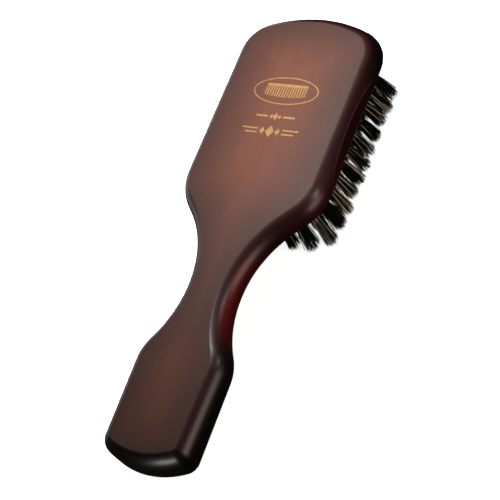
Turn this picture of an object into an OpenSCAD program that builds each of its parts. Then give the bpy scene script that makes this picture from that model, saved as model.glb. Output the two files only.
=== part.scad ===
// Fade brush: a flat-backed wooden club brush with short, flat-trimmed boar bristle.
// The brush rests on its bristle tips. X runs along the brush with the head at +X,
// Y runs across it and +Z points out of the flat back. The origin is on the plane of
// the bristle tips, half way along the brush and on its centre line.

/* [Lengths along the brush] */
// Head, from the widest point of the shoulders to the end
head_len = 75.3; // [63:0.1:91]
// Shoulder flank, from the widest point of the shoulders to the middle of the neck
shoulder_run = 29.8; // [27:0.1:38]
// Handle flank, from the middle of the neck to the widest point of the handle
handle_run = 31.2; // [25:0.1:34]
// Handle, from its widest point to the butt
handle_len = 41.7; // [36:0.1:60]

/* [Widths] */
// Head at the shoulders
head_w = 59.4; // [50:0.1:72]
// How much narrower the head is at its end
head_taper = 1.3; // [0:0.1:3]
// Handle at its widest point
handle_w = 36.9; // [32:0.1:45]
// How much narrower the handle is at the butt
handle_taper = 1.3; // [0:0.1:3]

/* [Radii of the outline] */
// Bowed end of the head
head_end_r = 57; // [48:1:80]
// Corners between the end and the sides of the head
head_corner_r = 13.9; // [11:0.1:17]
// Shoulders
shoulder_r = 18.5; // [12:0.1:22]
// Hollow sides of the neck
neck_r = 39.5; // [32:0.1:44]
// Widest point of the handle
grip_r = 17.9; // [15:0.1:24]
// Bowed butt of the handle
butt_r = 33.6; // [28:0.1:45]
// Corners between the butt and the sides of the handle
butt_corner_r = 5.4; // [5:0.1:7]

/* [Thickness and edges] */
// Wood over the bristles
head_t = 9; // [7.5:0.1:11]
// Wood at the butt; the underside slopes from the shoulders to here
butt_t = 13.6; // [11:0.1:17]
// Radius of the rounding between the flat back and the sides
back_edge_r = 7.6; // [6.3:0.1:7.9]
// Angle at which that rounding breaks away from the flat back
back_edge_break = 27; // [25:1:35]
// Rounding between the sides and the underside, as far as the wood is thick enough
lower_edge_r = 3; // [2:0.1:3.5]

/* [Finger scallops in the sides of the head] */
// Length of each scallop
scallop_len = 43; // [30:0.5:50]
// Depth of each scallop
scallop_depth = 1; // [0.6:0.1:1.4]
// Distance from the end of the head to the middle of the scallops
scallop_pos = 41.5; // [34:0.5:45]

/* [Bristles] */
// Bristle from the wood to the tips
bristle_len = 14.5; // [12:0.1:17.5]
// Width of a tuft at its tips
tuft_tip_d = 4.6; // [3.8:0.1:4.9]
// Lengthways distance from the corners of the head's shoulders to the ends of the first row
heel_gap = 0.5; // [0:0.1:2]
// Lengthways distance from the ends of the last row to the end of the head
toe_gap = 7.4; // [7:0.1:10]
// How far the middle of the first row bows out towards the handle
heel_bow = 3.4; // [0:0.1:5]
// How far the middle of the last row bows out towards the end of the head
toe_bow = 2; // [0:0.1:2.5]
// Distance from the outer tuft holes to the sides and shoulders of the head
side_gap = 4.6; // [4.5:0.1:6]
// Spread of the tips along the brush, as a share of a tuft's distance from the middle
splay_along = 0.06; // [0:0.01:0.08]
// Spread of the tips across the brush, as a share of a tuft's distance from the middle
splay_across = 0.1; // [0:0.01:0.12]
// Further lean of the first row's tips towards the handle
heel_flare = 1.5; // [0:0.1:2]

/* [Tuft holes and anchors] */
// Bore of a tuft hole
hole_d = 3; // [2.4:0.1:3.6]
// Depth of a tuft hole
hole_depth = 5.4; // [4.5:0.1:6.5]
// Gap all round between a tuft and its hole
tuft_fit = 0.03; // [0.02:0.01:0.1]
// Height of an anchor above the bottom of its hole
anchor_lift = 0.8; // [0.5:0.1:1.2]
// Width of the anchor wire
anchor_w = 1.6; // [1.2:0.1:2]
// Thickness of the anchor wire
anchor_t = 0.4; // [0.3:0.05:0.5]
// How far each end of an anchor bites into the wood
anchor_bite = 0.5; // [0.3:0.05:0.6]

/* [Hidden] */

ROWS = 13;        // rows of tufts, counted from the shoulders
SIDE_LANES = 4;   // lanes of tufts on each side of the centre line
SHORT_ROWS = 2;   // rows at the end of the head that stop short of its rounded corners
SHORT_LANES = 2;  // lanes on each side of the centre line in those rows
ARC_STEP = 3.2;   // longest chord of an outline arc
EDGE_STEPS = 6;   // strips round each rounded edge
EDGE_LAND = 0.4;  // least straight band between the two rounded edges
PAST = 1;         // how far a cut runs past the surface it opens
$fn = 48;

brush_len = head_len + shoulder_run + handle_run + handle_len;
head_end_x = brush_len / 2;
shoulder_x = head_end_x - head_len;
neck_x = shoulder_x - shoulder_run;
grip_x = neck_x - handle_run;
butt_x = grip_x - handle_len;
back_z = bristle_len + head_t;
back_edge_depth = back_edge_r * cos(back_edge_break);

// Where the straight lines of the outline meet, from the end of the head to the butt.
head_end = [head_end_x, (head_w - head_taper) / 2];
shoulder = [shoulder_x, head_w / 2];
neck = [neck_x, 0];
grip = [grip_x, handle_w / 2];
butt = [butt_x, (handle_w - handle_taper) / 2];

function ray(a) = [cos(a), sin(a)];
function heading(v) = atan2(v.y, v.x);

// Outward direction of the outline's line from p to q.
function facing(p, q) = atan2(p.x - q.x, q.y - p.y);

// Centre of the arc of radius r that joins the lines p-q and q-s. A hollow has a negative r.
function bend_centre(p, q, s, r) =
    let (a = facing(p, q), b = facing(q, s))
    q - r * (ray(a) + ray(b)) / (1 + cos(a - b));

// Centre of the corner of radius r that joins the line p-q to a bowed end of radius bow
// centred on c. It is the one towards the head when dir is 1, and the butt when it is -1.
function corner_centre(p, q, r, c, bow, dir) =
    let (
        n = ray(facing(p, q)),
        along = [n.y, -n.x],
        start = p - r * n,
        reach = (start - c) * along,
        gap = (start - c) * (start - c) - (bow - r) * (bow - r)
    )
    start + (dir * sqrt(reach * reach - gap) - reach) * along;

head_bow_c = [head_end_x - head_end_r, 0];
head_corner_c = corner_centre(head_end, shoulder, head_corner_r, head_bow_c, head_end_r, 1);
butt_bow_c = [butt_x + butt_r, 0];
butt_corner_c = corner_centre(grip, butt, butt_corner_r, butt_bow_c, butt_r, -1);

shoulder_c = bend_centre(head_end, shoulder, neck, shoulder_r);

// Radius of the hollow at the neck, held back where it would run into the bend of the grip.
neck_turn = facing(shoulder, neck) - facing(neck, grip);
grip_turn = facing(grip, butt) - facing(neck, grip);
neck_bend_r = min(neck_r, (norm(grip - neck) - grip_r * tan(grip_turn / 2)) / tan(neck_turn / 2));

// Arcs of the outline's +Y half, from the end of the head to the butt: centre, radius,
// first and last outward direction. Straight lines join them where they don't touch.
bends = [
    [head_bow_c, head_end_r, 0, heading(head_corner_c - head_bow_c)],
    [head_corner_c, head_corner_r, heading(head_corner_c - head_bow_c), facing(head_end, shoulder)],
    [shoulder_c, shoulder_r, facing(head_end, shoulder), facing(shoulder, neck)],
    [bend_centre(shoulder, neck, grip, -neck_bend_r), -neck_bend_r,
     facing(shoulder, neck), facing(neck, grip)],
    [bend_centre(neck, grip, butt, grip_r), grip_r, facing(neck, grip), facing(grip, butt)],
    [butt_corner_c, butt_corner_r, facing(grip, butt), heading(butt_corner_c - butt_bow_c)],
    [butt_bow_c, butt_r, heading(butt_corner_c - butt_bow_c), 180]
];

// Each point of that half outline, with its outward direction. An arc that follows another
// without a line between them leaves out the point they share.
half_outline = [
    for (k = [0 : len(bends) - 1])
        let (
            b = bends[k],
            shared = k == 1 || k == len(bends) - 1,
            steps = max(3, ceil(abs((b[3] - b[2]) * PI / 180 * b[1]) / ARC_STEP))
        )
        for (i = [shared ? 1 : 0 : steps])
            let (a = b[2] + (b[3] - b[2]) * i / steps)
            [b[0] + b[1] * ray(a), a]
];
HALF = len(half_outline);
AROUND = 2 * HALF - 2;

// Point i of the whole outline, moved in by inset: the +Y half, then its mirror image.
function outline_point(i, inset) =
    let (
        mirrored = i >= HALF,
        p = half_outline[mirrored ? AROUND - i : i],
        q = p[0] - inset * ray(p[1])
    )
    [q.x, mirrored ? -q.y : q.y];

// Thickness of the wood at x.
function wood_t(x) =
    head_t + (butt_t - head_t) * max(0, shoulder_x - x) / (shoulder_x - butt_x);

// Height of the lower rounding at x.
function lower_edge_h(x) = min(lower_edge_r, wood_t(x) - back_edge_depth - EDGE_LAND);

// One ring of points round the wood. The first rings go down the rounding under the flat
// back, and the others round the lower edge to the underside.
function back_ring(i, t) = let (p = outline_point(i, back_edge_r * (1 - sin(t))))
    [p.x, p.y, back_z - back_edge_r * (cos(back_edge_break) - cos(t))];
function lower_ring(i, t) = let (p = outline_point(i, lower_edge_r * (1 - cos(t))))
    [p.x, p.y, back_z - wood_t(p.x) + lower_edge_h(p.x) * (1 - sin(t))];

// The solid wood before any hole is cut.
module blank() {
    rings = 2 * (EDGE_STEPS + 1);
    points = [
        for (k = [0 : EDGE_STEPS]) let (t = back_edge_break + (90 - back_edge_break) * k / EDGE_STEPS)
            for (i = [0 : AROUND - 1]) back_ring(i, t),
        for (k = [0 : EDGE_STEPS]) let (t = 90 * k / EDGE_STEPS)
            for (i = [0 : AROUND - 1]) lower_ring(i, t)
    ];
    base = (rings - 1) * AROUND;
    sides = [
        for (k = [0 : rings - 2], i = [0 : AROUND - 1])
            let (a = k * AROUND + i, b = k * AROUND + (i + 1) % AROUND)
            each [[a, b, a + AROUND], [b, b + AROUND, a + AROUND]]
    ];
    back = [[for (i = [AROUND - 1 : -1 : 0]) i]];
    underside = [
        for (i = [0 : HALF - 2])
            i == 0 ? [base, base + 1, base + AROUND - 1]
            : i == HALF - 2 ? [base + i, base + i + 1, base + AROUND - i]
            : [base + i, base + i + 1, base + AROUND - i - 1, base + AROUND - i]
    ];
    polyhedron(points, concat(back, sides, underside));
}

// Lanes that a row fills: SIDE_LANES or fewer on each side, numbered out from the centre line.
function lanes(row) =
    let (reach = row > ROWS - SHORT_ROWS ? SHORT_LANES : SIDE_LANES)
    [for (lane = [-reach : reach]) if (lane != 0) lane];

// Sideways place of a lane, and lengthways place of the ends of a row.
function lane_y(lane) =
    sign(lane) * (abs(lane) - 0.5) * (head_end.y - side_gap) / (SIDE_LANES - 0.5);
function row_x(row) =
    let (first = shoulder_x + heel_gap, last = head_end_x - toe_gap)
    first + (row - 1) * (last - first) / (ROWS - 1);

// A place on the +Y side, moved in if it is less than side_gap from a rounded shoulder.
function off_shoulder(p) =
    let (d = p - shoulder_c, r = shoulder_r - side_gap, a = heading(d))
    a > facing(head_end, shoulder) && a < facing(shoulder, neck) && norm(d) > r
        ? shoulder_c + r * ray(a) : p;

// Middle of a tuft hole. The rows bow out at both ends of the head.
function hole_at(row, lane) =
    let (
        bow = (heel_bow + toe_bow) * (row - 1) / (ROWS - 1) - heel_bow,
        y = abs(lane_y(lane)),
        x = row_x(row) + bow * (1 - pow(y / lane_y(SIDE_LANES), 2)),
        p = off_shoulder([x, y])
    )
    [p.x, sign(lane) * p.y];

// How far a tuft leans for each millimetre down.
function lean(row, lane) = [
    (row_x(row) - (row_x(1) + row_x(ROWS)) / 2) * splay_along - (row == 1 ? heel_flare : 0),
    hole_at(row, lane).y * splay_across
] / bristle_len;

// Children drawn about a tuft's own axis: the hole's mouth at 0 and its bottom at hole_depth.
module at_tuft(row, lane) {
    slope = lean(row, lane);
    turn = -atan(slope.x);
    translate([each hole_at(row, lane), bristle_len])
        rotate([atan(slope.y * cos(turn)), turn, 0])
            children();
}

module for_each_tuft(row) {
    for (lane = lanes(row)) at_tuft(row, lane) children();
}

// Flat wire that pins a folded tuft. Its ends bite into the wood on both sides of the hole.
module anchor() {
    translate([-anchor_t / 2, -hole_d / 2 - anchor_bite, hole_depth - anchor_lift - anchor_w])
        cube([anchor_t, hole_d + 2 * anchor_bite, anchor_w]);
}

// Blind hole, with the grooves that the anchor's ends cut on their way in.
module tuft_hole() {
    translate([0, 0, -PAST])
        cylinder(h = hole_depth + PAST, d = hole_d);
    translate([-anchor_t / 2, -hole_d / 2 - anchor_bite, -PAST])
        cube([anchor_t, hole_d + 2 * anchor_bite, hole_depth - anchor_lift + PAST]);
}

// Shallow hollow along each side of the head, the shape of a large upright cylinder.
module finger_scallops() {
    r = scallop_len * scallop_len / (8 * scallop_depth) + scallop_depth / 2;
    x = head_end_x - scallop_pos;
    side_y = head_end.y + (head_w / 2 - head_end.y) * scallop_pos / head_len;
    for (side = [-1, 1])
        translate([x, side * (side_y + r - scallop_depth), bristle_len - PAST])
            cylinder(h = head_t + 2 * PAST, r = r, $fn = 360);
}

// Head and handle in one piece of wood.
module body() {
    color("#5a2f28")
    difference() {
        blank();
        finger_scallops();
        for (row = [1 : ROWS]) for_each_tuft(row) tuft_hole();
    }
}

// A row of tufts. Each is a folded bundle that fills its hole, spreads towards its tips and
// is trimmed level with the others.
module tuft_row(row) {
    root_r = hole_d / 2 - tuft_fit;
    tip_r = tuft_tip_d / 2;
    color("#15130f")
    difference() {
        for (lane = lanes(row))
            at_tuft(row, lane) {
                slope = lean(row, lane);
                tip_reach = bristle_len * norm([slope.x, slope.y, 1]);
                cut_reach = tip_reach + PAST;
                cut_r = root_r + (tip_r - root_r) * cut_reach / tip_reach;
                difference() {
                    rotate_extrude()
                        polygon([[0, -cut_reach], [cut_r, -cut_reach], [root_r, 0],
                                 [root_r, hole_depth], [0, hole_depth]]);
                    anchor();
                }
            }
        translate([-brush_len, -head_w, -bristle_len])
            cube([2 * brush_len, 2 * head_w, bristle_len]);
    }
}

// The anchors of one row of tufts.
module anchor_row(row) {
    color("#b9b4a6")
    for_each_tuft(row) anchor();
}

body();
tuft_row(1);  // tuft_row_01
tuft_row(2);  // tuft_row_02
tuft_row(3);  // tuft_row_03
tuft_row(4);  // tuft_row_04
tuft_row(5);  // tuft_row_05
tuft_row(6);  // tuft_row_06
tuft_row(7);  // tuft_row_07
tuft_row(8);  // tuft_row_08
tuft_row(9);  // tuft_row_09
tuft_row(10);  // tuft_row_10
tuft_row(11);  // tuft_row_11
tuft_row(12);  // tuft_row_12
tuft_row(13);  // tuft_row_13
anchor_row(1);  // anchor_row_01
anchor_row(2);  // anchor_row_02
anchor_row(3);  // anchor_row_03
anchor_row(4);  // anchor_row_04
anchor_row(5);  // anchor_row_05
anchor_row(6);  // anchor_row_06
anchor_row(7);  // anchor_row_07
anchor_row(8);  // anchor_row_08
anchor_row(9);  // anchor_row_09
anchor_row(10);  // anchor_row_10
anchor_row(11);  // anchor_row_11
anchor_row(12);  // anchor_row_12
anchor_row(13);  // anchor_row_13
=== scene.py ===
import math

import bpy
import numpy as np
from mathutils import Matrix, Vector, geometry, kdtree


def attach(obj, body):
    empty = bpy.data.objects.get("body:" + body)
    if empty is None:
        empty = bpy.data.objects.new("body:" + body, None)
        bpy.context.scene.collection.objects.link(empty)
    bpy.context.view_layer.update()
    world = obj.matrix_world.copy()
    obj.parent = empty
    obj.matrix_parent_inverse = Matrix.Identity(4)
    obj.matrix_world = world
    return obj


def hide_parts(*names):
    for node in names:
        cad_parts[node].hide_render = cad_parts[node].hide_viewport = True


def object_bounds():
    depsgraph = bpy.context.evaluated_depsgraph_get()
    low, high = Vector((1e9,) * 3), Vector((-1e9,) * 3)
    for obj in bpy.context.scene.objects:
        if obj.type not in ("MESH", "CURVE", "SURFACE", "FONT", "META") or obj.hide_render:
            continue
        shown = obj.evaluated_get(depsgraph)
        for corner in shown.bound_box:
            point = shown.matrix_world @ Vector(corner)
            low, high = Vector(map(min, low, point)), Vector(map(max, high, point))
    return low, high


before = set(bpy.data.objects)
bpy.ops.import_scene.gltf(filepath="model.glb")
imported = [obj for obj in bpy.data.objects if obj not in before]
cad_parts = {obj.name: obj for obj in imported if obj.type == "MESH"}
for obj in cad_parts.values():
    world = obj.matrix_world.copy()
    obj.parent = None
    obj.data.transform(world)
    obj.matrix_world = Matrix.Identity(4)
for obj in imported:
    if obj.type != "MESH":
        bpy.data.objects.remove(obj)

# The looks of a fade brush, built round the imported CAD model. Shapes are worked out in
# millimetres in the row frame: +X to the end of the head, +Y across, +Z out of the back.
MM = 0.001
cad_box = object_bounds()
cad_low, cad_high = (np.array(corner) / MM for corner in cad_box)

# ---- Sizes of the wood, as in part.scad ----
HEAD_LEN, SHOULDER_RUN, HANDLE_RUN = 75.3, 29.8, 31.2
HEAD_W, HEAD_TAPER = 59.4, 1.3
HANDLE_W, HANDLE_TAPER = 36.9, 1.3
HEAD_END_R, HEAD_CORNER_R, SHOULDER_R, NECK_R = 57, 13.9, 18.5, 39.5
GRIP_R, BUTT_R, BUTT_CORNER_R = 17.9, 33.6, 5.4
HEAD_T, BUTT_T = 9, 13.6
BACK_EDGE_R, BACK_EDGE_BREAK = 7.6, math.radians(27)
LOWER_EDGE_R, EDGE_LAND = 3, 0.4
SCALLOP_LEN, SCALLOP_DEPTH, SCALLOP_POS = 43, 1, 41.5
HOLE_R, HOLE_DEPTH = 1.5, 5.4
ROWS, SIDE_LANES, SHORT_ROWS, SHORT_LANES = 13, 4, 2, 2
HEEL_GAP, TOE_GAP, SIDE_GAP = 0.5, 7.4, 4.6
HEEL_BOW, TOE_BOW = 3.4, 2
SPLAY_ALONG, SPLAY_ACROSS, HEEL_FLARE = 0.06, 0.1, 1.5
TUFT_TIP_R = 2.7

# ---- Sizes that only the visible mesh has ----
HOLE_LIP = 0.08        # rounding of the mouth of a tuft hole
OUTLINE_STEP = 0.7     # spacing of the points round the outline
FACE_STEP = 1.8        # spacing of the points across a flat face
HOLE_POINTS = 28       # points round a tuft hole
BACK_EDGE_STEPS, SIDE_STEPS, LOWER_EDGE_STEPS = 13, 4, 8  # strips down each part of the sides

head_end_x, butt_x, back_z = cad_high[0], cad_low[0], cad_high[2]
bristle_len = back_z - HEAD_T
shoulder_x = head_end_x - HEAD_LEN
neck_x = shoulder_x - SHOULDER_RUN
grip_x = neck_x - HANDLE_RUN


# ---------------------------------------------------------------- outline

def ray(a):
    return np.array([math.cos(a), math.sin(a)])


def heading(v):
    return math.atan2(v[1], v[0])


def facing(p, q):
    """Outward direction of the outline's line from p to q."""
    return math.atan2(p[0] - q[0], q[1] - p[1])


def bend_centre(p, q, s, r):
    """Centre of the arc of radius r between the lines p-q and q-s. A hollow has a negative r."""
    a, b = facing(p, q), facing(q, s)
    return q - r * (ray(a) + ray(b)) / (1 + math.cos(a - b))


def corner_centre(p, q, r, c, bow, way):
    """Centre of the corner of radius r between the line p-q and a bowed end of radius bow round c."""
    n = ray(facing(p, q))
    along = np.array([n[1], -n[0]])
    start = p - r * n
    reach = (start - c) @ along
    gap = (start - c) @ (start - c) - (bow - r) ** 2
    return start + (way * math.sqrt(reach * reach - gap) - reach) * along


def corners():
    """Where the straight lines of the outline meet, from the end of the head to the butt."""
    return np.array([
        [head_end_x, (HEAD_W - HEAD_TAPER) / 2],
        [shoulder_x, HEAD_W / 2],
        [neck_x, 0],
        [grip_x, HANDLE_W / 2],
        [butt_x, (HANDLE_W - HANDLE_TAPER) / 2],
    ])


def outline():
    """Points of the whole outline, anticlockwise from the end of the head, and their outward directions."""
    head_end, shoulder, neck, grip, butt = corners()
    head_c = np.array([head_end_x - HEAD_END_R, 0])
    butt_c = np.array([butt_x + BUTT_R, 0])
    corner_c = corner_centre(head_end, shoulder, HEAD_CORNER_R, head_c, HEAD_END_R, 1)
    butt_corner_c = corner_centre(grip, butt, BUTT_CORNER_R, butt_c, BUTT_R, -1)
    lines = [facing(head_end, shoulder), facing(shoulder, neck), facing(neck, grip), facing(grip, butt)]
    bends = [
        (head_c, HEAD_END_R, 0, heading(corner_c - head_c)),
        (corner_c, HEAD_CORNER_R, heading(corner_c - head_c), lines[0]),
        (bend_centre(head_end, shoulder, neck, SHOULDER_R), SHOULDER_R, lines[0], lines[1]),
        (bend_centre(shoulder, neck, grip, -NECK_R), -NECK_R, lines[1], lines[2]),
        (bend_centre(neck, grip, butt, GRIP_R), GRIP_R, lines[2], lines[3]),
        (butt_corner_c, BUTT_CORNER_R, lines[3], heading(butt_corner_c - butt_c)),
        (butt_c, BUTT_R, heading(butt_corner_c - butt_c), math.pi),
    ]
    points, ways = [], []
    for centre, r, first, last in bends:
        steps = max(3, math.ceil(abs((last - first) * r) / OUTLINE_STEP))
        arc = [(centre + r * ray(first + (last - first) * i / steps), first + (last - first) * i / steps)
               for i in range(steps + 1)]
        gap = np.linalg.norm(arc[0][0] - points[-1]) if points else 0
        line = max(1, round(gap / OUTLINE_STEP))
        for i in range(1, line):
            points.append(points[-1] + (arc[0][0] - points[-1]) / (line - i + 1))
            ways.append(arc[0][1])
        for p, way in arc[1 if points and gap < 0.5 * OUTLINE_STEP else 0:]:
            points.append(p)
            ways.append(way)
    points, ways = np.array(points), np.array(ways)
    mirror = slice(-2, 0, -1)
    points = np.concatenate([points, points[mirror] * [1, -1]])
    ways = np.concatenate([ways, -ways[mirror]])
    return points, np.stack([np.cos(ways), np.sin(ways)], 1)


# ---------------------------------------------------------------- wooden back

def wood_t(x):
    return HEAD_T + (BUTT_T - HEAD_T) * np.maximum(0, shoulder_x - x) / (shoulder_x - butt_x)


def lower_edge_h(x):
    return np.minimum(LOWER_EDGE_R, wood_t(x) - BACK_EDGE_R * math.cos(BACK_EDGE_BREAK) - EDGE_LAND)


def scallop_cut(points):
    """How deep the finger scallops cut into the sides at each point of the outline."""
    r = SCALLOP_LEN ** 2 / (8 * SCALLOP_DEPTH) + SCALLOP_DEPTH / 2
    head_end_half = (HEAD_W - HEAD_TAPER) / 2
    side_y = head_end_half + HEAD_TAPER / 2 * SCALLOP_POS / HEAD_LEN
    off = points[:, 0] - (head_end_x - SCALLOP_POS)
    near = np.abs(off) < SCALLOP_LEN
    surface = side_y + r - SCALLOP_DEPTH - np.sqrt(r * r - np.where(near, off, 0) ** 2)
    return np.where(near, np.maximum(0, np.abs(points[:, 1]) - surface), 0)


def wood_rings(points, normals):
    """Rings of points from the flat back down to the underside, how deep the scallops cut at each
    point, and which rings are creases."""
    cut = scallop_cut(points)
    rings = []

    def ring(inset, z):
        p = points - inset[:, None] * normals
        rings.append(np.column_stack([p, z(p[:, 0]) if callable(z) else z]))

    side = np.arcsin(1 - cut / BACK_EDGE_R)
    for share in np.linspace(0, 1, BACK_EDGE_STEPS + 1):
        t = BACK_EDGE_BREAK + (side - BACK_EDGE_BREAK) * share
        ring(BACK_EDGE_R * (1 - np.sin(t)), back_z - BACK_EDGE_R * (math.cos(BACK_EDGE_BREAK) - np.cos(t)))
    upper_crease = len(rings) - 1
    low = np.arccos(1 - cut / LOWER_EDGE_R)
    x, _, top_z = rings[-1].T
    foot_z = back_z - wood_t(x) + lower_edge_h(x) * (1 - np.sin(low))
    for share in np.linspace(0, 1, SIDE_STEPS + 1)[1:-1]:
        ring(cut, top_z + (foot_z - top_z) * share)
    lower_crease = len(rings)
    for share in np.linspace(0, 1, LOWER_EDGE_STEPS + 1):
        t = low + (math.pi / 2 - low) * share
        ring(LOWER_EDGE_R * (1 - np.cos(t)),
             lambda x, t=t: back_z - wood_t(x) + lower_edge_h(x) * (1 - np.sin(t)))
    return rings, cut, (upper_crease, lower_crease)


def inside(points, loop):
    """Which points lie inside the closed loop."""
    a, b = loop, np.roll(loop, -1, 0)
    x, y = points[:, :1], points[:, 1:2]
    spans = (a[:, 1] > y) != (b[:, 1] > y)
    rise = np.where(b[:, 1] == a[:, 1], 1, b[:, 1] - a[:, 1])
    crossing = a[:, 0] + (y - a[:, 1]) * (b[:, 0] - a[:, 0]) / rise
    return (spans & (x < crossing)).sum(1) % 2 == 1


def tree_of(points):
    tree = kdtree.KDTree(len(points))
    for i, p in enumerate(points):
        tree.insert((p[0], p[1], 0), i)
    tree.balance()
    return tree


def flat_face(loop, circles=()):
    """Triangles that fill a loop but not the circles in it. Returns all the points, the loop's first and
    then the circles', and the triangles."""
    ring = [i * 2 * math.pi / HOLE_POINTS for i in range(HOLE_POINTS)]
    rims = [[centre + r * ray(a) for a in ring] for centre, r in circles]
    fixed = np.concatenate([loop] + rims) if rims else loop
    near = tree_of(fixed)
    low, high = loop.min(0), loop.max(0)
    grid = [(x + (j % 2) * FACE_STEP / 2, y)
            for j, y in enumerate(np.arange(low[1], high[1], FACE_STEP * 0.87))
            for x in np.arange(low[0], high[0], FACE_STEP)]
    grid = np.array([g for g in grid if near.find((g[0], g[1], 0))[2] > 0.6 * FACE_STEP])
    grid = grid[inside(grid, loop)]
    for centre, r in circles:
        grid = grid[np.linalg.norm(grid - centre, axis=1) > r]
    points = np.concatenate([fixed, grid])
    edges = [(i, (i + 1) % len(loop)) for i in range(len(loop))]
    for k in range(len(rims)):
        first = len(loop) + k * HOLE_POINTS
        edges += [(first + i, first + (i + 1) % HOLE_POINTS) for i in range(HOLE_POINTS)]
    made = geometry.delaunay_2d_cdt([Vector(p) for p in points], edges, [], 0, 1e-5)
    source = [origin[0] for origin in made[3]]
    faces = [[source[i] for i in face] for face in made[2]]
    places = points[faces]
    middles = places.mean(1)
    a, b = places[:, 1] - places[:, 0], places[:, 2] - places[:, 0]
    keep = inside(middles, loop) & (np.abs(a[:, 0] * b[:, 1] - a[:, 1] * b[:, 0]) > 1e-3)
    for centre, r in circles:
        keep &= np.linalg.norm(middles - centre, axis=1) > r * math.cos(math.pi / HOLE_POINTS)
    return points, [face for face, kept in zip(faces, keep) if kept]


def lanes(row):
    reach = SHORT_LANES if row > ROWS - SHORT_ROWS else SIDE_LANES
    return [lane for lane in range(-reach, reach + 1) if lane != 0]


def lane_y(lane):
    return (abs(lane) - 0.5) * ((HEAD_W - HEAD_TAPER) / 2 - SIDE_GAP) / (SIDE_LANES - 0.5)


def row_x(row):
    first, last = shoulder_x + HEEL_GAP, head_end_x - TOE_GAP
    return first + (row - 1) * (last - first) / (ROWS - 1)


def hole_at(row, lane):
    """Middle of a tuft hole. The rows bow out at both ends, and keep off the rounded shoulders."""
    bow = (HEEL_BOW + TOE_BOW) * (row - 1) / (ROWS - 1) - HEEL_BOW
    y = lane_y(lane)
    p = np.array([row_x(row) + bow * (1 - (y / lane_y(SIDE_LANES)) ** 2), y])
    head_end, shoulder, neck, _, _ = corners()
    centre = bend_centre(head_end, shoulder, neck, SHOULDER_R)
    r, a = SHOULDER_R - SIDE_GAP, heading(p - centre)
    if facing(head_end, shoulder) < a < facing(shoulder, neck) and np.linalg.norm(p - centre) > r:
        p = centre + r * ray(a)
    return p * [1, math.copysign(1, lane)]


def lean(row, lane):
    """How far a tuft leans along X and Y for each millimetre down."""
    along = (row_x(row) - (row_x(1) + row_x(ROWS)) / 2) * SPLAY_ALONG - (HEEL_FLARE if row == 1 else 0)
    return np.array([along, hole_at(row, lane)[1] * SPLAY_ACROSS]) / bristle_len


def new_piece(name, verts, faces, material):
    """A mesh object from points in millimetres, which rides on the brush."""
    mesh = bpy.data.meshes.new(name)
    mesh.from_pydata((np.asarray(verts) * MM).tolist(), [], faces)
    mesh.materials.append(material)
    piece = bpy.data.objects.new(name, mesh)
    bpy.context.scene.collection.objects.link(piece)
    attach(piece, "root")
    return piece


def wooden_back(material):
    points, normals = outline()
    rings, cut, creases = wood_rings(points, normals)
    around = len(points)
    verts = list(np.concatenate(rings))
    faces = [[a + i, a + around + i, a + around + (i + 1) % around, a + (i + 1) % around]
             for a in range(0, (len(rings) - 1) * around, around) for i in range(around)]
    # The flat back.
    flat, triangles = flat_face(rings[0][:, :2])
    at = list(range(around)) + list(range(len(verts), len(verts) + len(flat) - around))
    verts += [(p[0], p[1], back_z) for p in flat[around:]]
    faces += [[at[i] for i in t] for t in triangles]
    # The underside, with a blind hole for each tuft.
    tufts = [(row, lane) for row in range(1, ROWS + 1) for lane in lanes(row)]
    circles = [(hole_at(row, lane), HOLE_R + HOLE_LIP) for row, lane in tufts]
    last = (len(rings) - 1) * around
    flat, triangles = flat_face(rings[-1][:, :2], circles)
    base = len(verts)
    at = [last + i for i in range(around)] + list(range(base, base + len(flat) - around))
    verts += [(p[0], p[1], back_z - wood_t(p[0])) for p in flat[around:]]
    faces += [[at[i] for i in reversed(t)] for t in triangles]
    lip = 0.3 * HOLE_LIP
    for k, (row, lane) in enumerate(tufts):
        centre = np.append(hole_at(row, lane), bristle_len)
        up = np.append(-lean(row, lane), 1)
        rim = [base + k * HOLE_POINTS + i for i in range(HOLE_POINTS)]
        for r, depth in ((HOLE_R + lip, lip), (HOLE_R, HOLE_LIP), (HOLE_R, HOLE_DEPTH)):
            ring = range(len(verts), len(verts) + HOLE_POINTS)
            verts += [centre + depth * up + r * np.append(ray(2 * math.pi * i / HOLE_POINTS), 0)
                      for i in range(HOLE_POINTS)]
            faces += [[rim[i], ring[i], ring[(i + 1) % HOLE_POINTS], rim[(i + 1) % HOLE_POINTS]]
                      for i in range(HOLE_POINTS)]
            rim = list(ring)
        faces.append(list(rim))
    piece = new_piece("wooden_back", verts, faces, material)
    mesh = piece.data
    # How far each point lies in from the outline, which the stain follows.
    near = tree_of(points)
    inset = [near.find((v[0], v[1], 0))[2] for v in verts]
    stain = mesh.attributes.new("edge_distance", "FLOAT", "POINT")
    stain.data.foreach_set("value", np.array(inset, np.float32))
    # Painted reflection: a light line on the creases of the scallops and a grey band along the middle of
    # the lower rounding, where the lacquer would mirror light.
    painted_reflection = np.zeros(len(verts), np.float32)
    for k in creases:
        painted_reflection[k * around:(k + 1) * around] = np.clip(cut * 8, 0, 0.85)
    middle = len(rings) - LOWER_EDGE_STEPS // 2 - 2
    painted_reflection[middle * around:(middle + 2) * around] = 0.7
    wear_and_sheen = mesh.attributes.new("painted_reflection", "FLOAT", "POINT")
    wear_and_sheen.data.foreach_set("value", painted_reflection)
    mesh.shade_smooth()
    sharp = mesh.attributes.new("sharp_edge", "BOOLEAN", "EDGE")
    flats = (0, len(rings) - 1)
    hard = {tuple(sorted((k * around + i, k * around + (i + 1) % around)))
            for k in flats + creases for i in range(around)
            if k in flats or cut[i] > 0 or cut[(i + 1) % around] > 0}
    for edge in mesh.edges:
        if tuple(sorted(edge.vertices)) in hard:
            sharp.data[edge.index].value = True
    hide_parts("body")


# ---------------------------------------------------------------- bristles

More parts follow.
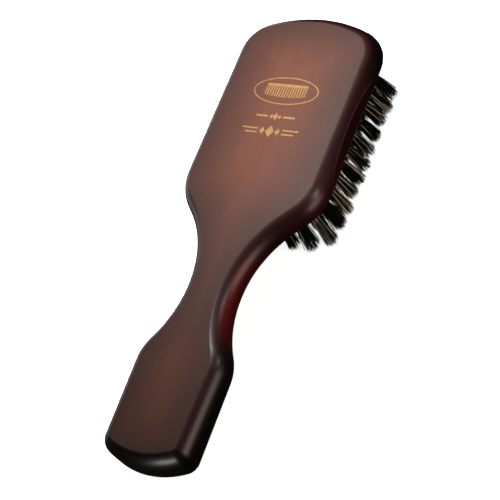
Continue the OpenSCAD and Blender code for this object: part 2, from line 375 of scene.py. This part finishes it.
BRISTLES = 190            # bristles in a tuft
BRISTLE_R = 0.115         # radius of a bristle, before its own variation
BRISTLE_SIDES = 5
BRISTLE_TAPER = 0.38      # share of its radius that a bristle loses by its tip
BRISTLE_BOW = 0.14        # typical sideways bow of a bristle
CREAM_R = 0.85            # radius of a cream bristle, as a share of a black one's
HELD = 1.4                # length of a bristle that is modelled inside its hole
SPREAD = 0.85             # below 1, a tuft spreads faster near the wood than near its tips
TIP_SCATTER = 0.28        # typical sideways scatter of the tips within a tuft
TUFT_SCATTER = 0.25       # typical sideways scatter of whole tufts, and of how short they are trimmed
TRIM_SCATTER = 0.3        # typical scatter of the bristles' lengths within a tuft
TRIM_DOME = 0.12          # how much shorter a tuft's outer bristles are
TIP_LIFT = 0.12           # least height of a tip above the plane of the tips
MOST_LIFT = 3             # most height of a tip above it
STRAY_SHARE = 0.04        # share of the bristles that stray from their tuft
STRAY_REACH = 0.8         # typical sideways reach of a stray bristle's tip
THINNEST, THICKEST = 0.8, 1.15  # range of a bristle's radius, as a share of BRISTLE_R
GOLDEN_ANGLE = 2.39996    # radians, which spaces the bristles evenly
SHADES = 32               # columns of the bristles' colour map
DARK_SHADES = 26          # columns that hold black bristles; the others hold cream ones
ALONG = np.array([0.0, 0.14, 0.3, 0.48, 0.66, 0.83, 1.0])  # where a bristle has its points
rng = np.random.default_rng(7)


def tuft(row, lane):
    """Centre lines, radii and colour columns of one tuft's bristles."""
    n = BRISTLES
    mouth = np.append(hole_at(row, lane), bristle_len)
    slope = lean(row, lane)
    rho = np.sqrt((np.arange(n) + 0.5) / n)
    phi = np.arange(n) * GOLDEN_ANGLE + rng.uniform(0, 2 * math.pi)
    disc = np.stack([rho * np.cos(phi), rho * np.sin(phi)], 1)
    root = disc * (HOLE_R - THICKEST * BRISTLE_R)
    squash = 1 + rng.normal(0, 0.07, 2)
    tip = disc * TUFT_TIP_R * squash + rng.normal(0, TIP_SCATTER, (n, 2))
    stray = rng.random(n) < STRAY_SHARE
    tip[stray] += rng.normal(0, STRAY_REACH, (stray.sum(), 2))
    tip += slope * bristle_len + rng.normal(0, TUFT_SCATTER, 2)
    short = np.abs(rng.normal(0, TRIM_SCATTER, n)) + TRIM_DOME * rho ** 2 + abs(rng.normal(0, TUFT_SCATTER))
    short[stray] *= 0.5
    start = mouth + np.column_stack([root - slope * HELD, np.full(n, HELD)])
    gate = mouth + np.column_stack([root, np.zeros(n)])
    end = np.column_stack([mouth[:2] + tip, np.minimum(short + TIP_LIFT, MOST_LIFT)])
    bow = rng.normal(0, BRISTLE_BOW, (n, 2))
    rows = [start]
    for s in ALONG:
        p = gate + (end - gate) * s
        p[:, :2] += (tip - root) * (s ** SPREAD - s)
        p[:, :2] += bow * math.sin(math.pi * s)
        rows.append(p)
    lines = np.stack(rows, 1)
    radius = BRISTLE_R * rng.uniform(THINNEST, THICKEST, n)
    taper = np.concatenate([[1], 1 - BRISTLE_TAPER * ALONG ** 2])
    cream_share = rng.choice([0.09, 0.14, 0.22], p=[0.45, 0.35, 0.2])
    clump = np.cos(phi - rng.uniform(0, 2 * math.pi)) * rho
    cream = rng.random(n) < cream_share * (1 + 0.6 * clump)
    radius[cream] *= CREAM_R
    shade = np.where(cream, rng.integers(DARK_SHADES, SHADES, n), rng.integers(0, DARK_SHADES, n))
    return lines, radius[:, None] * taper, shade


def tube_mesh(lines, radii, shades):
    """One tube along each line. Returns points, faces and each face corner's place on the colour map."""
    n, rings = lines.shape[:2]
    forward = np.gradient(lines, axis=1)
    forward /= np.linalg.norm(forward, axis=2, keepdims=True)
    side = np.cross(forward, [0, 1, 0])
    side /= np.linalg.norm(side, axis=2, keepdims=True)
    other = np.cross(forward, side)
    turn = np.arange(BRISTLE_SIDES) * 2 * math.pi / BRISTLE_SIDES
    spoke = side[:, :, None] * np.cos(turn)[:, None] + other[:, :, None] * np.sin(turn)[:, None]
    verts = (lines[:, :, None] + spoke * radii[:, :, None, None]).reshape(-1, 3)
    first = np.arange(n)[:, None, None] * rings * BRISTLE_SIDES
    k = np.arange(rings - 1)[:, None] * BRISTLE_SIDES
    j, j_next = np.arange(BRISTLE_SIDES), (np.arange(BRISTLE_SIDES) + 1) % BRISTLE_SIDES
    quads = np.stack([first + k + j, first + k + j_next, first + k + BRISTLE_SIDES + j_next,
                      first + k + BRISTLE_SIDES + j], -1).reshape(-1, 4)
    caps = first[:, 0] + (rings - 1) * BRISTLE_SIDES + np.arange(BRISTLE_SIDES)
    # A bristle keeps to the middle four fifths of its column.
    margin, span = 0.1 / SHADES, 0.8 / SHADES
    u = shades[:, None, None] / SHADES + margin + span * j / BRISTLE_SIDES
    v = np.linspace(0, 1, rings)
    u0 = np.broadcast_to(u, (n, rings - 1, BRISTLE_SIDES))
    u1 = u0 + span / BRISTLE_SIDES
    v0 = np.broadcast_to(v[:-1, None], u0.shape)
    v1 = np.broadcast_to(v[1:, None], u0.shape)
    quad_map = np.stack([u0, v0, u1, v0, u1, v1, u0, v1], -1).reshape(-1, 2)
    cap_u = shades[:, None] / SHADES + margin + span * (0.5 + 0.4 * np.cos(turn))
    cap_v = np.broadcast_to(0.985 + 0.012 * np.sin(turn), cap_u.shape)
    cap_map = np.stack([cap_u, cap_v], -1).reshape(-1, 2)
    return verts, quads.tolist() + caps.tolist(), np.concatenate([quad_map, cap_map])


def bristle_row(row, material):
    parts = [tuft(row, lane) for lane in lanes(row)]
    lines, radii, shades = (np.concatenate(stack) for stack in zip(*parts))
    verts, faces, places = tube_mesh(lines, radii, shades)
    piece = new_piece(f"bristle_row_{row:02d}", verts, faces, material)
    colour_map = piece.data.uv_layers.new(name="OFBake")
    colour_map.uv.foreach_set("vector", places.astype(np.float32).ravel())
    piece.data.shade_smooth()
    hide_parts(f"tuft_row_{row:02d}")


# ---------------------------------------------------------------- gold ornament

FOIL_T = 0.03             # how far the foil stands out of the back
FOIL_X, FOIL_HALF_W, FOIL_HALF_H = 55.8, 13.6, 5.6
OVAL_POINTS, OVAL_LINE_W = 72, 0.45
COMB_HALF_W, TOOTH_PITCH, TOOTH_W = 8.6, 1.03, 0.55


def bar(u0, v0, u1, v1, width):
    """Corners of a straight bar between two points."""
    p, q = np.array([u0, v0]), np.array([u1, v1])
    n = np.array([q[1] - p[1], p[0] - q[0]])
    n = n / np.linalg.norm(n) * width / 2
    return [p + n, q + n, q - n, p - n]


def diamond(u, v, r):
    tall = 1.3 * r
    return [np.array(corner) for corner in ((u + r, v), (u, v + tall), (u - r, v), (u, v - tall))]


def gold_ornament(material):
    """A foil print: a comb in an oval, over two lines of diamonds and bars."""
    shapes = []
    size = np.array([FOIL_HALF_W, FOIL_HALF_H])
    rim = [ray(2 * math.pi * i / OVAL_POINTS) for i in range(OVAL_POINTS)]
    for p, q in zip(rim, rim[1:] + rim[:1]):
        shapes.append([p * size, q * size, q * (size - OVAL_LINE_W), p * (size - OVAL_LINE_W)])
    shapes.append(bar(-COMB_HALF_W, 2.1, COMB_HALF_W, 2.1, 1.3))
    for i in range(-8, 9):
        shapes.append(bar(i * TOOTH_PITCH, 1.6, i * TOOTH_PITCH, 0.012 * i * i - 2.7, TOOTH_W))
    v = -10.6
    for side in (-1, 1):
        shapes.append(bar(side * 3.2, v, side * 8.2, v, 0.8))
        shapes.append(diamond(side * 1.75, v, 0.75))
    shapes.append(diamond(0, v, 1.15))
    v = -16.6
    for side in (-1, 1):
        shapes.append(bar(side * 5.2, v + 0.8, side * 11.8, v + 0.8, 0.6))
        shapes.append(bar(side * 5.2, v - 0.8, side * 10.2, v - 0.8, 0.6))
        shapes.append(diamond(side * 3.2, v, 1.1))
    shapes.append(diamond(0, v, 1.8))
    verts, faces = [], []
    for shape in shapes:
        first, n = len(verts), len(shape)
        for z in (back_z, back_z + FOIL_T):
            verts += [(FOIL_X + p[1], -p[0], z) for p in shape]
        faces.append([first + i for i in reversed(range(n))])
        faces.append([first + n + i for i in range(n)])
        faces += [[first + i, first + (i + 1) % n, first + n + (i + 1) % n, first + n + i]
                  for i in range(n)]
    new_piece("gold_ornament", verts, faces, material)


# ---------------------------------------------------------------- materials

class Paint:
    """A material and short calls to add nodes to it."""

    def __init__(self, name, **inputs):
        self.material = bpy.data.materials.new(name)
        self.material.use_nodes = True
        self.tree = self.material.node_tree
        self.shader = self.tree.nodes["Principled BSDF"]
        for socket, value in inputs.items():
            self.shader.inputs[socket.replace("_", " ")].default_value = value

    def node(self, kind, settings=(), **links):
        """A shader node. Each further word names an input, or its place as _0, with a value or link."""
        made = self.tree.nodes.new("ShaderNode" + kind)
        for key, value in dict(settings).items():
            setattr(made, key, value)
        for socket, value in links.items():
            place = int(socket[1:]) if socket[1:].isdigit() else socket.replace("_", " ")
            if isinstance(value, bpy.types.NodeSocket):
                self.tree.links.new(value, made.inputs[place])
            else:
                made.inputs[place].default_value = value
        return made

    def stretched(self, along, across, offset=0.0):
        """Object coordinates scaled so that one unit is along mm on X and across mm on Y and Z."""
        place = self.node("TexCoord").outputs["Object"]
        scale = (1 / (along * MM), 1 / (across * MM), 1 / (across * MM))
        return self.node("Mapping", Vector=place, Scale=scale, Location=(offset, offset, offset)).outputs[0]

    def noise(self, vector, detail, rough):
        made = self.node("TexNoise", Vector=vector, Scale=1.0, Detail=detail, Roughness=rough)
        return made.outputs["Fac"]

    def fade(self, value, low, high, to_low=0.0, to_high=1.0):
        made = self.node("MapRange", {"interpolation_type": "SMOOTHSTEP"}, Value=value,
                         From_Min=low, From_Max=high, To_Min=to_low, To_Max=to_high)
        return made.outputs[0]

    def math(self, what, a, b=0.0):
        return self.node("Math", {"operation": what}, _0=a, _1=b).outputs[0]

    def mix(self, share, a, b):
        made = self.node("Mix", {"data_type": "RGBA"})
        for place, value in ((0, share), (6, a), (7, b)):
            if isinstance(value, bpy.types.NodeSocket):
                self.tree.links.new(value, made.inputs[place])
            else:
                made.inputs[place].default_value = value if place == 0 else (*value, 1)
        return made.outputs[2]

    def ramp(self, value, stops):
        made = self.node("ValToRGB", Fac=value)
        elements = made.color_ramp.elements
        while len(elements) < len(stops):
            elements.new(1)
        for element, (at, colour) in zip(elements, stops):
            element.position = at
            element.color = (*colour, 1)
        return made.outputs[0]

    def bump(self, height, strength, distance):
        """Bump from a height, where a height of 1 stands for distance in millimetres."""
        made = self.node("Bump", Height=height, Strength=strength, Distance=distance * MM)
        return made.outputs[0]

    def finish(self, **outputs):
        for socket, value in outputs.items():
            self.tree.links.new(value, self.shader.inputs[socket.replace("_", " ")])
        return self.material


def lacquered_wood():
    paint = Paint("lacquered_wood", Coat_Weight=0.45, Coat_Roughness=0.3, Coat_IOR=1.5,
                  Specular_IOR_Level=0.08)
    edge = paint.node("Attribute", {"attribute_name": "edge_distance"}).outputs["Fac"]
    # Sprayed stain: red-brown in the middle, greyer towards the edge and near black on the sides.
    streaks = paint.noise(paint.stretched(30, 0.55), 4, 0.6)
    clouds = paint.noise(paint.stretched(16, 7, 3), 2, 0.5)
    speckle = paint.noise(paint.stretched(0.5, 0.28, 5), 2, 0.6)
    wander = paint.math("MULTIPLY", paint.math("SUBTRACT", clouds, 0.5), paint.fade(edge, 3, 9, 0, 7))
    reach = paint.math("ADD", edge, wander)
    stain = paint.ramp(paint.math("DIVIDE", reach, 24.0), [
        (0.0, (0.0140, 0.0008, 0.0014)),
        (0.08, (0.0080, 0.0004, 0.0006)),
        (0.145, (0.018, 0.0044, 0.0038)),
        (0.175, (0.041, 0.0215, 0.0180)),
        (0.46, (0.057, 0.0250, 0.0190)),
        (0.71, (0.073, 0.0300, 0.0210)),
        (1.0, (0.091, 0.0345, 0.0225)),
    ])
    # The sides go black towards both ends, but keep some red along the middle of the head, and get a dark
    # red painted reflection at the neck.
    x = paint.node("SeparateXYZ", Vector=paint.node("TexCoord").outputs["Object"]).outputs[0]
    middle = paint.math("MULTIPLY", paint.fade(x, -0.012, 0.012), paint.fade(x, 0.078, 0.052))
    black = paint.math("MULTIPLY", paint.fade(edge, 2.6, 1.2), paint.fade(middle, 0, 1, 0.94, 0.0))
    butt = paint.math("MULTIPLY", paint.fade(x, -0.077, -0.083), paint.fade(edge, 4.1, 3.3, 0, 0.94))
    stain = paint.mix(paint.math("MAXIMUM", black, butt), stain, (0.0008, 0.0003, 0.0003))
    # Painted reflection: a dark red patch low on the sides of the neck.
    neck = paint.math("MULTIPLY", paint.fade(x, -0.046, -0.03), paint.fade(x, 0.002, -0.014))
    painted_red_reflection = paint.math("MULTIPLY", neck, paint.fade(edge, 2.6, 1.0))
    stain = paint.mix(painted_red_reflection, stain, (0.042, 0.0010, 0.0010))
    grain = paint.fade(streaks, 0.3, 0.7, 0.95, 1.04)
    mottle = paint.fade(speckle, 0.25, 0.75, 0.86, 1.12)
    tone = paint.math("MULTIPLY", grain, mottle)
    shaded = paint.node("VectorMath", {"operation": "SCALE"}, _0=stain, Scale=tone).outputs[0]
    pores = paint.noise(paint.stretched(2.6, 0.26, 9), 2, 0.5)
    pore = paint.fade(pores, 0.68, 0.76)
    colour = paint.mix(paint.math("MULTIPLY", pore, 0.45), shaded, (0.03, 0.012, 0.01))
    # Painted reflection: mixes a light grey-brown into the colour on the scallop creases and along the
    # lower rounding.
    painted_reflection = paint.node("Attribute", {"attribute_name": "painted_reflection"}).outputs["Fac"]
    reflection_share = paint.math("MULTIPLY", paint.fade(painted_reflection, 0.55, 1.0), 0.4)
    colour = paint.mix(reflection_share, colour, (0.14, 0.12, 0.11))
    height = paint.math("ADD", paint.math("MULTIPLY", streaks, 0.6), paint.math("MULTIPLY", pore, -0.5))
    normal = paint.bump(height, 0.5, 0.03)
    rough = paint.fade(speckle, 0.2, 0.8, 0.42, 0.55)
    return paint.finish(Base_Color=colour, Roughness=rough, Normal=normal)


def boar_bristle():
    paint = Paint("boar_bristle", Specular_IOR_Level=0.1)
    place = paint.node("UVMap", {"uv_map": "OFBake"}).outputs[0]
    apart = paint.node("SeparateXYZ", Vector=place)
    shade, along = apart.outputs[0], apart.outputs[1]
    dark_end = DARK_SHADES / SHADES
    colour = paint.ramp(shade, [
        (0.0, (0.0004, 0.0010, 0.0008)),
        (dark_end * 0.8, (0.0012, 0.0024, 0.0018)),
        (dark_end - 0.005, (0.007, 0.009, 0.006)),
        (dark_end + 0.005, (0.38, 0.44, 0.28)),
        (1.0, (0.84, 0.90, 0.64)),
    ])
    fine = paint.node("Mapping", Vector=place, Scale=(SHADES * 3, 14, 1)).outputs[0]
    flecks = paint.noise(fine, 2, 0.6)
    blotch, length = paint.fade(flecks, 0.3, 0.7, 0.75, 1.2), paint.fade(along, 0, 1, 0.8, 1.1)
    wear_and_sheen = paint.math("MULTIPLY", blotch, length)
    colour = paint.node("VectorMath", {"operation": "SCALE"}, _0=colour, Scale=wear_and_sheen).outputs[0]
    rough = paint.fade(flecks, 0.2, 0.8, 0.32, 0.5)
    return paint.finish(Base_Color=colour, Roughness=rough)


def gold_foil():
    paint = Paint("gold_foil", Metallic=0.15, Specular_IOR_Level=0.5)
    grain = paint.noise(paint.stretched(3, 0.35), 3, 0.6)
    fine = paint.noise(paint.stretched(0.3, 0.2, 4), 2, 0.5)
    stops = [(0.0, (0.17, 0.08, 0.025)), (1.0, (0.26, 0.13, 0.036))]
    gold = paint.ramp(paint.fade(grain, 0.25, 0.75), stops)
    colour = paint.mix(paint.fade(fine, 0.62, 0.72, 0, 0.5), gold, (0.11, 0.045, 0.022))
    rough = paint.fade(fine, 0.2, 0.8, 0.4, 0.6)
    return paint.finish(Base_Color=colour, Roughness=rough)


def drawn_steel():
    paint = Paint("drawn_steel", Metallic=1.0)
    lines = paint.noise(paint.stretched(0.05, 0.6), 3, 0.6)
    colour = paint.ramp(lines, [(0.0, (0.42, 0.41, 0.39)), (1.0, (0.72, 0.70, 0.66))])
    return paint.finish(Base_Color=colour, Roughness=paint.fade(lines, 0.2, 0.8, 0.25, 0.45))


def pale_floor():
    paint = Paint("pale_floor", Specular_IOR_Level=0.0, Roughness=1.0, Emission_Strength=1.05)
    soft = paint.noise(paint.stretched(90, 90), 2, 0.5)
    white = paint.ramp(soft, [(0.0, (0.80, 0.80, 0.80)), (1.0, (0.84, 0.84, 0.84))])
    return paint.finish(Base_Color=white, Emission_Color=white)


# ---------------------------------------------------------------- camera, light and floor

CAMERA_AIM = Vector((-0.94, -1.85, 9.97)) * MM
CAMERA_AZIMUTH, CAMERA_ELEVATION, CAMERA_ROLL = np.radians([-30.81, 49.35, -43.32]).tolist()
CAMERA_DISTANCE = 735.3 * MM
CAMERA_LENS, CAMERA_SENSOR = 151.9, 36  # millimetres
WORLD_STRENGTH = 0.015
FLOOR_HALF = 4000


def add_camera():
    a, e = CAMERA_AZIMUTH, CAMERA_ELEVATION
    back = Vector((math.sin(a) * math.cos(e), -math.cos(a) * math.cos(e), math.sin(e)))
    level = Vector((math.cos(a), math.sin(a), 0))
    turn = Matrix.Rotation(CAMERA_ROLL, 3, back)
    right, up = turn @ level, turn @ back.cross(level)
    data = bpy.data.cameras.new("camera")
    data.lens, data.sensor_width = CAMERA_LENS, CAMERA_SENSOR
    data.clip_start, data.clip_end = 0.01, 20
    camera = bpy.data.objects.new("camera", data)
    place = Matrix((right, up, back)).transposed().to_4x4()
    place.translation = CAMERA_AIM + back * CAMERA_DISTANCE
    camera.matrix_world = place
    bpy.context.scene.collection.objects.link(camera)
    bpy.context.scene.camera = camera


def softbox(name, place, aim, width, height, power, colour=(1, 1, 1)):
    """A rectangular area light at place, in millimetres, that faces aim."""
    data = bpy.data.lights.new(name, "AREA")
    data.shape = "RECTANGLE"
    data.size, data.size_y = width * MM, height * MM
    data.energy, data.color = power, colour
    light = bpy.data.objects.new(name, data)
    light.location = Vector(place) * MM
    light.rotation_euler = (Vector(aim) - Vector(place)).to_track_quat("-Z", "Y").to_euler()
    bpy.context.scene.collection.objects.link(light)


def add_lights():
    softbox("key", (80, -8, 160), (60, 0, 20), 50, 130, 0.68)
    softbox("fill", (-420, 120, 900), (0, 0, 0), 500, 500, 0.15)
    softbox("low_panel", (-30, -244, 58), (-45, -18, 15), 140, 116, 0.30, (1, 0.71, 0.62))
    softbox("corner_panel", (26, -100, 67), (18, -25, 20), 16, 20, 0.02, (1, 0.84, 0.78))
    softbox("end_panel", (-330, 10, 50), (-89, 0, 12), 110, 70, 0.34, (1, 0.97, 0.92))
    softbox("far_strip", (10, 70, 14), (0, 20, 14), 240, 24, 0.02)
    world = bpy.data.worlds.new("studio")
    world.use_nodes = True
    colour, strength = world.node_tree.nodes["Background"].inputs[:2]
    colour.default_value, strength.default_value = (1, 1, 1, 1), WORLD_STRENGTH
    bpy.context.scene.world = world


def add_floor(material):
    """A pale floor that shows to the camera but doesn't light or mirror in the brush."""
    half = FLOOR_HALF * MM
    spots = [(-half, -half, 0), (half, -half, 0), (half, half, 0), (-half, half, 0)]
    mesh = bpy.data.meshes.new("floor")
    mesh.from_pydata(spots, [], [[0, 1, 2, 3]])
    mesh.materials.append(material)
    floor = bpy.data.objects.new("floor", mesh)
    bpy.context.scene.collection.objects.link(floor)
    floor.visible_glossy = False
    floor.visible_diffuse = False


def paint_anchors(material):
    """Gives the CAD anchors, which stay in the scene, their steel."""
    for name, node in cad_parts.items():
        if name.startswith("anchor_row"):
            for place in node.material_slots:
                place.material = material


add_camera()
wooden_back(lacquered_wood())
bristle_material = boar_bristle()
for number in range(1, ROWS + 1):
    bristle_row(number, bristle_material)
gold_ornament(gold_foil())
paint_anchors(drawn_steel())
add_floor(pale_floor())
add_lights()
bpy.context.scene.view_settings.view_transform = "Standard"
